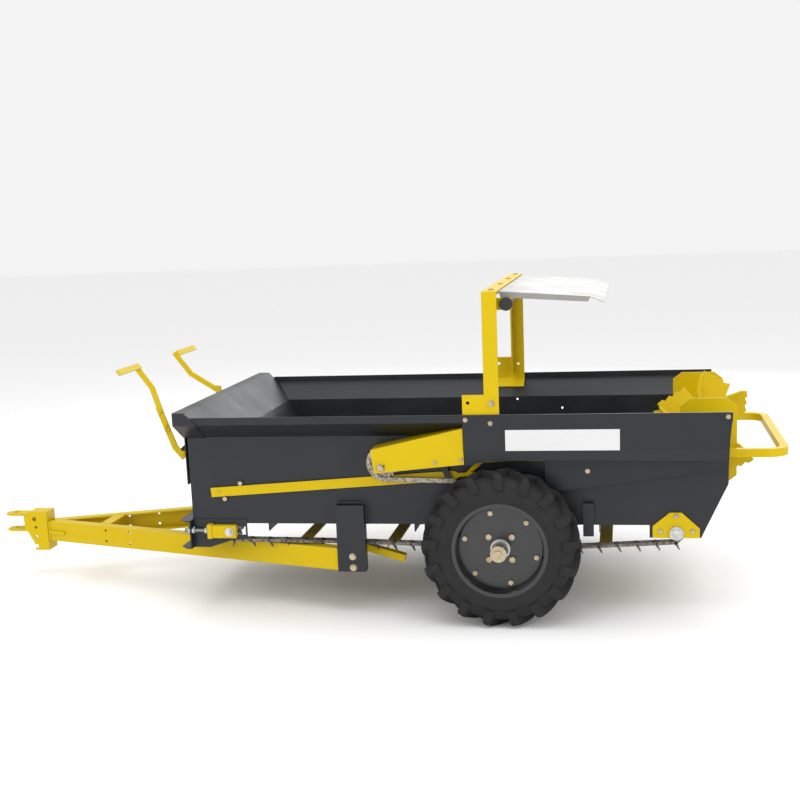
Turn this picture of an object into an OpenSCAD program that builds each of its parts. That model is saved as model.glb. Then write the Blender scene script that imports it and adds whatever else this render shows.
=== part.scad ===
// Compact ground-driven compost and manure spreader with drawbar.
// X runs from hitch (-X) to tail (+X), Y across, Z up; ground is z = 0.

/* [Box] */
// Outer width across the lower side walls
box_w = 876; // [720:1:1060]
// Reach of the flared top beyond each lower wall
flare_out = 102; // [96:1:130]
// Height of the lower edge of the side walls
wall_z = 326; // [320:1:332]
// Height of the fold where the walls start to flare
fold_z = 644; // [620:1:670]
// Height gained over the flared band
flare_h = 61; // [40:1:70]
// Height of the upright top flange
flange_h = 26; // [20:1:32]
// Distance from the axle to the rear end of the box
box_rear = 765; // [740:1:800]
// Distance from the axle to the front end of the side walls
box_front = 1134; // [1110:1:1200]
// Sheet thickness of the box
sheet = 3; // [2:0.5:4]
// Front lip height above the side flanges
lip_rise = 18; // [10:1:30]

/* [Wheels] */
// Tyre diameter over the lugs
tyre_d = 545; // [512:1:580]
// Tyre section width
tyre_w = 130; // [124:1:136]
// Gap between the side wall and the inner face of the tyre
tyre_gap = 38; // [34:1:60]
// Rim flange radius
rim_r = 171; // [165:1:178]
// Stub axle radius
stub_r = 20; // [16:0.5:24]
// Number of lugs on each half of the tread
lugs = 17; // [14:1:20]
// Height of the lugs
lug_h = 22; // [16:1:26]

/* [Drawbar] */
// Distance from the axle to the tip of the hitch
hitch_x = 2097; // [1740:1:2600]
// Height of the drawbar channel section
beam_h = 80; // [70:1:90]
// Flange width of the drawbar channel
beam_flange = 45; // [35:1:50]
// Wall of the drawbar channel
beam_t = 6; // [4:0.5:8]
// Hitch pin hole radius
pin_r = 12.5; // [10:0.5:14]

/* [Apron] */
// Radius of the chain line round the apron sprockets
apron_r = 42; // [39:0.5:44]
// Pitch of the apron chain links
apron_pitch = 66; // [60:1:72]
// Distance of each apron chain from its side wall
apron_in = 38; // [34:1:60]
// Apron shaft radius
apron_shaft_r = 15; // [12:0.5:18]
// Height of the apron slats
slat_h = 25; // [18:1:30]

/* [Beater] */
// Swept radius of the beater paddles
beater_r = 200; // [160:1:210]
// Beater tube radius
beater_tube_r = 38; // [30:1:48]
// Beater shaft radius
beater_shaft_r = 15; // [12:0.5:18]
// Height of the beater shaft
beater_z = 600; // [590:1:615]

/* [Deflector] */
// Length of the deflector sheet behind its front edge
deflector_len = 303; // [250:1:365]
// Height of the top of the deflector frame
frame_top = 1142; // [1000:1:1300]

/* [Tail and controls] */
// Distance from the axle to the back of the rear bail
bail_x = 967; // [940:1:1040]
// Half the width of the square bail tube
bail_r = 14; // [10:0.5:16]
// Grip length of the control levers
grip_len = 215; // [150:1:260]

/* [Fits] */
// Radial running clearance of every shaft and pin
run_fit = 0.05; // [0.02:0.01:0.1]
// Gap between parts that pass each other
gap = 0.5; // [0.3:0.1:1]

/* [Hidden] */

yellow = "#e8c800";
slate = "#3a3e44";
steel = "#b9bbb8";
rubber = "#1d1d1f";
galvanised = "#c9c6bd";

wy = box_w / 2;                        // outer face of the lower wall
ty = wy + flare_out;                        // outer face of the top flange
flange_z = fold_z + flare_h;
top_z = flange_z + flange_h;
lip_z = top_z + lip_rise;
axle_z = 272.5;                        // drawn height of the axle; place() lifts everything so the tyres touch the ground
lift = tyre_d / 2 - axle_z;
tyre_y = wy + tyre_gap + tyre_w / 2;
apron_y = wy - apron_in;
nose = -hitch_x;
beam_x = nose + 192;                    // front end of the drawbar channels
beam_run = -590 - beam_x;
beater_half = wy - 98;
x_shift = (hitch_x - bail_x) / 2;      // the frame's origin is the middle of the overall length
floor_t = 4;
floor_top = wall_z + 6;
apron_z = floor_top + 10 - apron_r;    // apron shafts: the upper run lies just over the floor
front_shaft_x = -991;
rear_shaft_x = 590;
beater_x = 700;
chain_y = wy + 19;                     // plane of the drive chain
hub_r = 115;                           // chain line radius of the hub sprocket
small_r = 39.8;                        // chain line radius of the small sprockets
idler = [-408, 551];
idler_r = 57.9;                        // chain line radius of the idler
guide_a = [-172, 467];                 // chain turns down over this guide, ahead of the wheel
guide_b = [185, 440];
guide_low = [168, 218];                // the two guides that wrap the chain over the hub sprocket
guide_r = 20;
disc_y = tyre_y + 4;                   // wheel disc
hub_end = tyre_y + 99;
stub_end = hub_end - 10;
post_x = [-590, -489];
post_y = wy + 40;
beam_angle = atan2(post_y - 5 - 30, beam_run);
beam_tilt = atan2(19, norm([beam_run, post_y - 35]));
lever_y = 200;
lever_pin = [-1240, 541];
bar_from = [-1040, 444];
bar_to = [-106, 508];
skirt_x = box_front + 13;

$fn = 48;

// ---- shared helpers ----
function unit(v) = v / norm(v);
function lhs(v) = [-v[1], v[0]];
function mitre(p, i) = let (n = len(p),
    a = unit(i > 0 ? p[i] - p[i - 1] : p[1] - p[0]),
    b = unit(i < n - 1 ? p[i + 1] - p[i] : p[n - 1] - p[n - 2]),
    m = unit(lhs(a) + lhs(b))) m / (m * lhs(a));
// outline of a folded strip of thickness t, laid on the left of the points p
function band(p, t) = concat(p, [for (i = [len(p) - 1 : -1 : 0]) p[i] + t * mitre(p, i)]);

// heading of the tangent from circle a to circle b; each circle is [x, z, signed radius]
function heading(a, b) = let (d = [b[0] - a[0], b[1] - a[1]]) atan2(d[1], d[0]) - asin((b[2] - a[2]) / norm(d));
function turn(c, h) = [c[0] + c[2] * sin(h), c[1] - c[2] * cos(h), h];
function wrap(a, s) = s > 0 ? (a < 0 ? a + 360 : a) : (a > 0 ? a - 360 : a);
// points [x, z, heading] of a chain loop round the circles
function loop(c, step) = [for (i = [0 : len(c) - 1])
    let (n = len(c), h0 = heading(c[(i + n - 1) % n], c[i]), h1 = heading(c[i], c[(i + 1) % n]),
        d0 = (h1 - h0) % 360, d = wrap(abs(d0) < 0.001 ? 0.01 * sign(c[i][2]) : d0, c[i][2]), k = max(1, ceil(abs(d) / step)))
    for (j = [0 : k]) turn(c[i], h0 + d * j / k)];
function side_step(path, w) = [for (p = path) [p[0] + w * sin(p[2]), p[1] - w * cos(p[2])]];
function seg(path, i) = let (a = path[i], b = path[(i + 1) % len(path)]) norm([b[0] - a[0], b[1] - a[1]]);
function run(path, i = 0, s = 0) = i >= len(path) ? [s] : concat([s], run(path, i + 1, s + seg(path, i)));
// points at equal spacing along a loop
function spaced(path, count) = let (r = run(path), total = r[len(path)])
    [for (k = [0 : count - 1]) let (s = total * k / count,
        i = [for (j = [0 : len(path) - 1]) if (r[j] <= s && s < r[j + 1]) j][0],
        t = (s - r[i]) / (r[i + 1] - r[i]), a = path[i], b = path[(i + 1) % len(path)])
        [a[0] + t * (b[0] - a[0]), a[1] + t * (b[1] - a[1])]];
function loop_length(path) = run(path)[len(path)];

stand_pin = [-572, 240];
apron_loop = loop([[front_shaft_x, apron_z, apron_r], [stand_pin[0], stand_pin[1], -13.2], [120, 234.5 + 1400, 1400], [rear_shaft_x, apron_z, apron_r]], 12);
drive_loop = loop([[idler[0], idler[1], idler_r], [guide_a[0], guide_a[1], -guide_r], [-guide_low[0], guide_low[1], guide_r], [0, axle_z, -hub_r],
    [guide_low[0], guide_low[1], guide_r], [guide_b[0], guide_b[1], -guide_r], [beater_x, beater_z, small_r]], 12);

module place() translate([x_shift, 0, lift]) children();
// turns an outline drawn in X and Z into a plate from y0 to y1
module plate_y(y0, y1) translate([0, y1, 0]) rotate([90, 0, 0]) linear_extrude(y1 - y0) children();
module rod_y(x, z, r, y0, y1, fn = 48) translate([x, y0, z]) rotate([-90, 0, 0]) cylinder(r = r, h = y1 - y0, $fn = fn);
module rod_x(y, z, r, x0, x1) translate([x0, y, z]) rotate([0, 90, 0]) cylinder(r = r, h = x1 - x0, $fn = 32);
module block(x0, x1, y0, y1, z0, z1) translate([x0, y0, z0]) cube([x1 - x0, y1 - y0, z1 - z0]);
module hex_y(x, z, af, y0, y1) translate([x, y0, z]) rotate([-90, 0, 0]) cylinder(d = af / cos(30), h = y1 - y0, $fn = 6);
module other_side() mirror([0, 1, 0]) children();
module both() { children(); other_side() children(); }

// ---- box ----
function wall_line() = [[-wy, wall_z], [-wy, fold_z], [-ty, flange_z], [-ty, top_z]];
// the space inside and including the side walls
module box_prism(x0, x1, grow = 0) translate([x0, 0, 0]) rotate([90, 0, 90]) linear_extrude(x1 - x0)
    polygon([[-wy - grow, wall_z - 200], [-wy - grow, fold_z + grow / 2], [-ty - grow, flange_z + grow / 2], [-ty - grow, lip_z + 50],
        [ty + grow, lip_z + 50], [ty + grow, flange_z + grow / 2], [wy + grow, fold_z + grow / 2], [wy + grow, wall_z - 200]]);

module side_wall() difference() {
    union() {
        translate([-box_front, 0, 0]) rotate([90, 0, 90]) linear_extrude(box_front + box_rear) polygon(band([for (i = [3 : -1 : 0]) wall_line()[i]], sheet));
        block(500, 700, -wy, -wy + sheet, wall_z - 44, wall_z + 4);
    }
    // front ends of the flare and the flange
    block(-box_front - 1, -1080, -ty - 1, -wy - 0.01, fold_z, top_z + 1);
    // slanted tail of the wall
    plate_y(-ty - 1, -wy + sheet + 1) polygon([[672, wall_z - 60], [672, wall_z - 44], [box_rear - 4, wall_z + 144], [box_rear - 4, wall_z + 200], [box_rear + 1, wall_z + 300], [box_rear + 60, wall_z + 300], [box_rear + 60, wall_z - 60]]);
    // shafts through the wall
    rod_y(rear_shaft_x, apron_z, apron_shaft_r + 4, -wy - 5, -wy + 10);
    rod_y(beater_x, beater_z, beater_shaft_r + 4, -wy - 5, -wy + 10);
    // slot of the control bar's link pin
    plate_y(-wy - 5, -wy + 10) translate(bar_from + 18.5 * bar_dir) rotate(4) square([44, 14], center = true);
    rod_y(-18, fold_z - 9, 4.5, -wy - 5, -wy + 10);
    rod_y(165, fold_z - 48, 4.5, -wy - 5, -wy + 10);
}
module side_wall_left() color(slate) place() side_wall();
module side_wall_right() color(slate) place() other_side() side_wall();

module front_panel() color(slate) place() {
    // lip, slope and lower wall, cut to the inside of the walls
    difference() {
        intersection() {
            plate_y(-ty, ty) polygon(band([[-skirt_x, lip_z - 280], [-skirt_x, lip_z], [-1105, lip_z], [-990, fold_z], [-842, floor_top + 46]], -sheet));
            box_prism(-1200, -800);
        }
        both() translate([-1200, 0, 0]) rotate([90, 0, 90]) linear_extrude(400) polygon(band([for (i = [3 : -1 : 0]) wall_line()[i]], sheet));
    }
    // cheeks over the front ends of the flares
    both() intersection() {
        translate([-skirt_x, 0, 0]) rotate([90, 0, 90]) linear_extrude(100)
            polygon(band([[-wy, fold_z], [-ty, flange_z], [-ty, lip_z]], sheet));
        plate_y(-ty - 10, -wy + 10) polygon([[-skirt_x, fold_z - 5], [-skirt_x, lip_z], [-1104, lip_z], [-1064, flange_z + 3], [-1064, fold_z - 5]]);
    }
}

module floor_plate() color(slate) place() block(-935, 540, -wy + sheet, wy - sheet, floor_top - floor_t, floor_top);

module crossbar(x) {
    block(x, x + 4, -wy + sheet, wy - sheet, floor_top - floor_t - 30, floor_top - floor_t);
    block(x + 3.9, x + 30, -wy + sheet, wy - sheet, floor_top - floor_t - 4, floor_top - floor_t);
}
module floor_crossbars() color(slate) place() { crossbar(-851); crossbar(-316); crossbar(330); }

channel_z = 145 + beam_h + 19 * (-box_front - beam_x) / beam_run + 0.8;
module front_cross_channel() color(slate) place() difference() {
    block(-box_front - 45, -box_front, -wy - 32, wy + 32, channel_z, wall_z + 16);
    block(-box_front - 46, -box_front - 5, -wy - 40, wy + 40, channel_z + 5, wall_z + 11);
    both() translate([0, -wy - 17, apron_z + 4]) rod_x(0, 0, 7 + 0.3, -box_front - 10, -box_front + 10);
    // chamfered flange ends
    both() translate([-box_front - 45, -wy - 32, 0]) rotate([0, 0, 45]) cube([36, 36, 2000], center = true);
}

module axle_beam() color(slate) place() {
    difference() {
        block(-25, 25, -wy + 8, wy - 8, axle_z - 25, axle_z + 25);
        block(-20, 20, -wy - 1, wy + 1, axle_z - 20, axle_z + 20);
    }
    both() {
        block(-25, 25, -wy + 8, -wy + 14, axle_z - 25, axle_z + 25);
        rod_y(0, axle_z, stub_r, -stub_end, -wy + 9);
        rod_y(0, axle_z, stub_r + 12, -tyre_y + 96, -wy + 9);
        // saddle up to the floor
        block(-60, 60, -wy + 60, -wy + 66, axle_z + 25, floor_top - floor_t);
        block(-60, 60, -wy + 60, -wy + 100, floor_top - floor_t - 5, floor_top - floor_t);
    }
}

module wall_stiffeners() color(slate) place() both() difference() {
    block(276, 312, -wy - 20, -wy, wall_z - 36, wall_z + 80);
    block(280, 308, -wy - 16, -wy + 1, wall_z - 40, wall_z + 90);
}

// ---- drawbar ----
module beam() {
    difference() {
        intersection() {
            translate([beam_x, -30, 145]) rotate([0, -beam_tilt, -beam_angle]) difference() {
                cube([norm([beam_run, post_y - 35]), beam_flange, beam_h]);
                translate([-1, beam_t, beam_t]) cube([3000, 100, beam_h - 2 * beam_t]);
            }
            block(beam_x, -590, -1000, -1, 0, 400);
        }
        // holes for a jack or tool bracket
        for (x = [285, 400], dz = [18, 62]) translate([beam_x + x, -30 - x * tan(beam_angle), 147 + dz + x / 75]) rotate([90, 0, 0]) cylinder(r = 5.5, h = 60, center = true, $fn = 24);
    }
    difference() {
        block(-596, -495, -post_y + 5, -post_y + 5 + beam_t, 164, 164 + beam_h);
        rod_y(-535, 216, 6.5, -post_y, -post_y + 20, 24);
        rod_y(-534, 176, 6.5, -post_y, -post_y + 20, 24);
    }
    // weld strap from the hitch block along the web
    translate([beam_x - 3, -30.5, 176]) rotate([0, -beam_tilt, -beam_angle]) translate([0, -5, 0]) cube([85, 5.3, 12]);
}
module drawbar_beam_left() color(yellow) place() beam();
module drawbar_beam_right() color(yellow) place() other_side() beam();

function beam_in(x) = 30 + (x - beam_x) * tan(beam_angle) - (beam_flange + 0.3) / cos(beam_angle);
module drawbar_crossmember() color(yellow) place() difference() {
    x0 = beam_x + 240;
    translate([0, 0, 150]) linear_extrude(beam_h - 2) polygon([for (k = [[0, -1], [45, -1], [45, 1], [0, 1]]) [x0 + k[0], k[1] * beam_in(x0 + k[0])]]);
    block(x0 + 6, x0 + 100, -300, 300, 150 + beam_t, 148 + beam_h - beam_t);
}

// hitch, drawn with x = 0 at its front tip
cheek = [[85, 250], [105, 266], [185, 266], [185, 106], [125, 106], [121, 140], [95, 186], [85, 186]];
module hitch_block() color(yellow) place() translate([nose, 0, 0]) {
    difference() {
        both() plate_y(-38, -30) polygon(cheek);
        for (z = [236, 122]) rod_y(130, z, 9, -50, 50);
        for (z = [201, 163]) rod_y(134, z, 6, -50, 50, 32);
    }
    block(177, 185, -30.01, 30.01, 106, 266);
    block(109, 178, -30.01, 30.01, 258, 266);
}
module tongue(z) difference() {
    translate([0, 0, z]) linear_extrude(10) polygon([[0, -17], [22, -29], [141.1, -29], [141.1, 29], [22, 29], [0, 17]]);
    translate([38, 0, z - 1]) cylinder(r = pin_r, h = 12);
}
module hitch_clevis() color(yellow) place() translate([nose, 0, 0]) {
    tongue(247);
    tongue(182);
    block(141, 151, -30, 30, 175, 258);
    block(150.9, 177, -5, 5, 180, 250);
}

// ---- posts and stand legs ----
module post() difference() {
    block(post_x[0], post_x[1], -post_y, -wy, wall_z - 166, wall_z + 76);
    block(post_x[0] + 5, post_x[1] - 5, -post_y + 5, -wy + 1, wall_z - 170, wall_z + 80);
    rod_y(-535, 216, 6.5, -post_y - 1, -post_y + 20, 24);
    rod_y(-534, 176, 6.5, -post_y - 1, -post_y + 20, 24);
    // room for the drawbar's end plate
    block(post_x[0] - 1, post_x[0] + 6, -post_y + 5, -post_y + 5 + beam_t + 40, 100, 164 + beam_h + 2);
}
// hanger under the wall with the fixed pin of the stand leg
module stand_hanger() {
    block(stand_pin[0] - 15, stand_pin[0] + 15, -wy - 2, -wy + 4, stand_pin[1] - 18, wall_z);
    rod_y(stand_pin[0], stand_pin[1], 8, -wy + 3, -apron_y + 62);
    rod_y(stand_pin[0], stand_pin[1], 14, -apron_y + 19, -apron_y + 22);
    hex_y(stand_pin[0], stand_pin[1], 22, -apron_y + 31.5, -apron_y + 40);
}
module post_left() color(slate) place() { post(); stand_hanger(); }
module post_right() color(slate) place() other_side() { post(); stand_hanger(); }
stand_len = 214;
module stand_leg() translate([stand_pin[0], 0, stand_pin[1]]) rotate([0, 16, 0]) difference() {
    union() {
        block(0, stand_len, -apron_y + 24, -apron_y + 56, -13, 13);
        rod_y(0, 0, 16, -apron_y + 24, -apron_y + 31);
    }
    block(-20, stand_len + 1, -apron_y + 31, -apron_y + 52, -14, 8);
    block(-20, 22, -apron_y + 31, -apron_y + 60, -20, 20);
    rod_y(0, 0, 8 + run_fit, -apron_y + 20, -apron_y + 40);
}
module stand_leg_left() color(yellow) place() stand_leg();
module stand_leg_right() color(yellow) place() other_side() stand_leg();

// ---- apron take-up at the front ----
module tension_bracket() {
    difference() {
        plate_y(-wy - 5, -wy) polygon([[-box_front, wall_z + 16], [-box_front, channel_z], [-1075, channel_z], [-985, channel_z + 28], [-930, channel_z + 32], [-930, wall_z + 16]]);
        plate_y(-wy - 6, -wy + 1) translate([front_shaft_x, apron_z]) square([110, 2 * apron_shaft_r + 2], center = true);
    }
}
module tension_bracket_left() color(slate) place() tension_bracket();
module tension_bracket_right() color(slate) place() other_side() tension_bracket();
module tension_slider() difference() {
    union() {
        block(front_shaft_x - 66, front_shaft_x + 9 + apron_shaft_r, -wy - 27, -wy - 5, apron_z - 23, apron_z + 23);
        block(front_shaft_x - 82, front_shaft_x - 65.9, -wy - 31, -wy - 5, apron_z - 25, apron_z + 27);
    }
    block(front_shaft_x - 67, front_shaft_x - apron_shaft_r - 12, -wy - 22, -wy - 4, apron_z - 18, apron_z + 18);
    rod_y(front_shaft_x, apron_z, apron_shaft_r + run_fit, -wy - 40, -wy);
    rod_x(-wy - 17, apron_z + 4, 7, front_shaft_x - 90, front_shaft_x - 60);
}
module tension_slider_left() color(yellow) place() tension_slider();
module tension_slider_right() color(yellow) place() other_side() tension_slider();
module tension_rods() color(steel) place() both() {
    rod_x(-wy - 17, apron_z + 4, 7, -box_front - 30, front_shaft_x - 62);
    for (x = [-box_front - 15, -box_front, front_shaft_x - 93]) translate([x, -wy - 17, apron_z + 4]) rotate([0, 90, 0]) cylinder(d = 24, h = 10, $fn = 6);
}

module star(teeth, r_tip, r_root, w, y) translate([0, y + w / 2, 0]) rotate([90, 0, 0]) linear_extrude(w)
    polygon([for (i = [0 : teeth - 1], k = [0 : 3]) let (a = 360 / teeth * (i + [-0.3, -0.12, 0.12, 0.3][k]), r = [r_root, r_tip, r_tip, r_root][k]) r * [cos(a), sin(a)]]);
module apron_sprocket(x) translate([x, 0, apron_z]) both() {
    star(8, apron_r - 6, apron_r - 15, 14, -apron_y);
    rod_y(0, 0, apron_shaft_r + 8, -apron_y - 12, -apron_y + 20);
}
module front_idler_shaft() color(steel) place() {
    rod_y(front_shaft_x, apron_z, apron_shaft_r, -wy - 28, wy + 28);
    apron_sprocket(front_shaft_x);
    both() { rod_y(front_shaft_x, apron_z, 16, -wy - 31, -wy - 27.5); hex_y(front_shaft_x, apron_z, 19, -wy - 38, -wy - 30.5); }
}

// ---- apron drive at the tail ----
module rear_bearing_plates() color(yellow) place() both() difference() {
    plate_y(-wy - 8, -wy) translate([rear_shaft_x, apron_z]) polygon([[-80, -17], [-80, 24], [-23, 71], [17, 71], [77, 16], [77, -17]]);
    rod_y(rear_shaft_x, apron_z, apron_shaft_r + run_fit, -wy - 10, -wy + 5);
}
module apron_drive_shaft() color(steel) place() {
    rod_y(rear_shaft_x, apron_z, apron_shaft_r, -wy - 20, wy + 42);
    apron_sprocket(rear_shaft_x);
    rod_y(rear_shaft_x, apron_z, 24, -wy - 16, -wy - 8.3);
    rod_y(rear_shaft_x, apron_z, 24, wy + 8.3, wy + 16);
    // feed ratchet wheel, keyed to the right end
    translate([rear_shaft_x, 0, apron_z]) rotate([0, 7, 0]) star(18, 58, 50, 10, wy + 25);
}
module feed_ratchet_arm() color(yellow) place() {
    difference() {
        plate_y(wy + 32, wy + 38) translate([rear_shaft_x, apron_z]) polygon([[-24, -20], [24, -20], [30, 10], [22, 104], [-22, 104], [-30, 10]]);
        rod_y(rear_shaft_x, apron_z, apron_shaft_r + run_fit, wy + 30, wy + 40);
        rod_y(rear_shaft_x, apron_z + 88, 6, wy + 30, wy + 40, 32);
    }
    // spring pawl, held clear over the teeth
    block(rear_shaft_x - 34, rear_shaft_x + 10, wy + 20, wy + 32.1, apron_z + 60, apron_z + 70);
}

module apron_chain() {
    for (s = [-1, 1]) translate([0, s * 15 - 2.5 - apron_y, 0]) plate_y(0, 5) difference() {
        polygon(side_step(apron_loop, 4));
        polygon(side_step(apron_loop, -4));
    }
    for (p = spaced(apron_loop, round(loop_length(apron_loop) / apron_pitch))) rod_y(p[0], p[1], 3.9, -apron_y - 13, -apron_y + 13, 16);
}
module apron_chain_left() color(steel) place() apron_chain();
module apron_chain_right() color(steel) place() other_side() apron_chain();

upper_slats = [-800, -474, -148, 178, 504];
lower_slats = [-757, -431, -105, 328];
// underside of the sagging lower run at x
function lower_z(x) = let (p = side_step(apron_loop, 4), hits = [for (i = [0 : len(p) - 1]) let (a = p[i], b = p[(i + 1) % len(p)]) if (a[0] <= x && x < b[0] && b[0] - a[0] > 0) a[1] + (b[1] - a[1]) * (x - a[0]) / (b[0] - a[0])]) min(hits);
module slat(x, z, up) translate([x, 0, z]) mirror([0, 0, up ? 0 : 1]) {
    block(0, 45, -apron_y + 15, apron_y - 15, 0, 4);
    block(0, 4, -apron_y + 34, apron_y - 34, 3.9, slat_h);
}
module apron_slats() color(yellow) place() {
    for (x = upper_slats) slat(x, apron_z + apron_r + 4, true);
    for (x = lower_slats) slat(x, min(lower_z(x), lower_z(x + 45)), false);
}

// ---- wheels, drawn for the left side ----
carcass_r = tyre_d / 2 - lug_h;
module tyre() translate([0, -tyre_y, axle_z]) rotate([90, 0, 0]) {
    w = tyre_w / 2;
    rotate_extrude($fn = 96) polygon([[rim_r - 17, -49], [rim_r, -51], [rim_r, -55], [rim_r + 6, -w + 5], [rim_r + 30, -w], [carcass_r - 26, -w + 2], [carcass_r - 8, -w + 14], [carcass_r, -w + 40],
        [carcass_r, w - 40], [carcass_r - 8, w - 14], [carcass_r - 26, w - 2], [rim_r + 30, w], [rim_r + 6, w - 5], [rim_r, 55], [rim_r, 51], [rim_r - 17, 49]]);
    intersection() {
        union() for (s = [0, 1], i = [0 : lugs - 1]) mirror([0, 0, s]) rotate([0, 0, (i + s / 2) * 360 / lugs])
            translate([carcass_r - 28, 0, 2]) rotate([-38, 0, 0]) translate([0, -8, 0]) cube([lug_h + 40, 15, w * 1.2]);
        rotate_extrude($fn = 96) polygon([[rim_r + 10, -w + 1], [carcass_r - 14, -w + 1], [tyre_d / 2 - 5, -w + 14], [tyre_d / 2, -w + 34],
            [tyre_d / 2, w - 34], [tyre_d / 2 - 5, w - 14], [carcass_r - 14, w - 1], [rim_r + 10, w - 1]]);
    }
}
module rim() translate([0, -tyre_y, axle_z]) rotate([90, 0, 0]) difference() {
    union() {
        rotate_extrude($fn = 96) polygon([[rim_r, -55], [rim_r, -51], [rim_r - 17, -49], [rim_r - 19, -20], [rim_r - 25, -10], [rim_r - 25, 10], [rim_r - 19, 20], [rim_r - 17, 49], [rim_r, 51], [rim_r, 55],
            [rim_r - 20, 53], [rim_r - 24, 22], [rim_r - 29, 12], [rim_r - 29, -12], [rim_r - 24, -22], [rim_r - 20, -53]]);
        difference() {
            translate([0, 0, disc_y - tyre_y]) cylinder(r = rim_r - 27, h = 5, $fn = 96);
            translate([0, 0, -50]) cylinder(r = 34, h = 100);
        }
    }
    for (i = [0 : 3]) rotate([0, 0, 45 + 90 * i]) translate([56, 0, 0]) cylinder(r = 6.5, h = 40, $fn = 32);
    for (i = [0 : 5]) rotate([0, 0, 45 + 60 * i]) translate([126, 0, 0]) cylinder(r = 5.5, h = 40, $fn = 32);
}
module hub() difference() {
    union() {
        rod_y(0, axle_z, 34, -disc_y - 20, -tyre_y + 66);
        rod_y(0, axle_z, 28, -hub_end + 12, -disc_y - 19.9);
        rod_y(0, axle_z, 72, -disc_y, -disc_y + 8);
    }
    rod_y(0, axle_z, stub_r + run_fit, -hub_end - 1, -tyre_y + 100);
    for (i = [0 : 3]) translate([0, 0, axle_z]) rotate([0, 45 + 90 * i, 0]) rod_y(56, 0, 6.5, -disc_y - 1, -disc_y + 10, 32);
}
module wheel_bolts() {
    for (i = [0 : 3]) translate([0, 0, axle_z]) rotate([0, 45 + 90 * i, 0]) { rod_y(56, 0, 6.3, -disc_y - 12, -disc_y + 8.5, 24); hex_y(56, 0, 19, -disc_y - 15, -disc_y - 5); }
    for (i = [0 : 5]) translate([0, 0, axle_z]) rotate([0, 15 + 60 * i, 0]) { rod_y(126, 0, 5.3, -disc_y - 8, -disc_y, 24); hex_y(126, 0, 16, -disc_y - 12, -disc_y - 5); }
}
module tyre_left() color(rubber) place() tyre();
module rim_left() color("#151517") place() rim();
module hub_left() color(steel) place() hub();
module tyre_right() color(rubber) place() other_side() tyre();
module rim_right() color("#151517") place() other_side() rim();
module hub_right() color(steel) place() other_side() hub();
module wheel_bolts_left() color(steel) place() wheel_bolts();
module wheel_bolts_right() color(steel) place() other_side() wheel_bolts();

// ---- beater drive, left side ----
module hub_sprocket() color(steel) place() difference() {
    union() {
        translate([0, 0, axle_z]) star(38, hub_r - 6.5, hub_r - 12, 6, -chain_y);
        rod_y(0, axle_z, 44, -tyre_y + 66, -chain_y + 3);
    }
    rod_y(0, axle_z, stub_r + 1, -tyre_y, -wy);
}
module drive_chain() color(steel) place() {
    for (s = [-1, 1]) translate([0, s * 6.5 - 1 - chain_y, 0]) plate_y(0, 2) difference() {
        polygon(side_step(drive_loop, 5));
        polygon(side_step(drive_loop, -5));
    }
    for (p = spaced(drive_loop, round(loop_length(drive_loop) / 38.1))) rod_y(p[0], p[1], 4.5, -chain_y - 6, -chain_y + 6, 16);
}
module chain_idler() color(steel) place() difference() {
    translate([idler[0], 0, idler[1]]) { star(19, idler_r - 6.5, idler_r - 12, 6, -chain_y); rod_y(0, 0, 18, -chain_y - 10, -chain_y + 8); }
    rod_y(idler[0], idler[1], 8 + run_fit, -600, -400);
}
// round guide blocks that lead the chain over the hub sprocket, and their brackets
module chain_guides() color(slate) place() {
    for (g = [guide_a, [-guide_low[0], guide_low[1]], guide_low, guide_b]) {
        rod_y(g[0], g[1], guide_r - 5.5, -chain_y - 4, -chain_y + 4);
        rod_y(g[0], g[1], 6, -chain_y - 3, -wy);
    }
    block(-guide_low[0] - 15, guide_low[0] + 15, -wy - 5, -wy + 1, guide_low[1] - 12, guide_low[1] + 12);
    difference() {
        block(-60, 60, -wy - 5, -wy + 1, guide_low[1], axle_z + 45);
        rod_y(0, axle_z, stub_r + 12.2, -wy - 10, -wy + 5, 64);
        block(-65, 65, -wy - 1.5, -wy + 2, axle_z - 30, axle_z + 50);
    }
    // hold-down strap under the front guard
    plate_y(-chain_y - 3, -chain_y + 3) polygon([[-214, 548], [-192, 548], [-174, 496], [-196, 496]]);
    rod_y(-202, 541, 6, -chain_y, -wy, 24);
}

// ---- beater ----
module beater_bearings() color(slate) place() both() difference() {
    union() {
        plate_y(-wy - 6, -wy) translate([beater_x, beater_z]) circle(r = 43);
        rod_y(beater_x, beater_z, 30, -wy - 8.5, -wy - 5);
    }
    rod_y(beater_x, beater_z, beater_shaft_r + run_fit, -wy - 15, -wy + 5);
}
end_plate = [[-95, -121], [-62, -147], [62, -147], [95, -121], [95, 121], [62, 147], [-62, 147], [-95, 121]];
module beater_shaft() color(yellow) place() {
    rod_y(beater_x, beater_z, beater_shaft_r, -wy - 32, wy + 14);
    rod_y(beater_x, beater_z, beater_tube_r, -beater_half, beater_half);
    translate([beater_x, 0, beater_z]) star(13, small_r - 6.5, small_r - 12, 6, -chain_y);
    translate([beater_x, 0, beater_z]) rod_y(0, 0, 22, -chain_y - 10, -chain_y + 8);
    both() translate([beater_x, 0, beater_z]) plate_y(-beater_half, -beater_half + 6) polygon(end_plate);
}
// one stepped paddle with its leading leaf, standing on the tube along +Z
module paddle() {
    k = beater_r / 200;
    rotate([0, 0, 20]) plate_y(-3, 3)
        polygon(k * [[-34, 20], [-20, 100], [4, 196], [26, 188], [28, 177], [52, 173], [54, 162], [78, 158], [80, 147], [106, 142], [74, 60], [40, 20]]);
    rotate([0, 0, 60]) plate_y(-3, 3) polygon(k * [[-52, 20], [-46, 120], [-14, 178], [2, 188], [-12, 110], [-20, 20]]);
}
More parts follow.
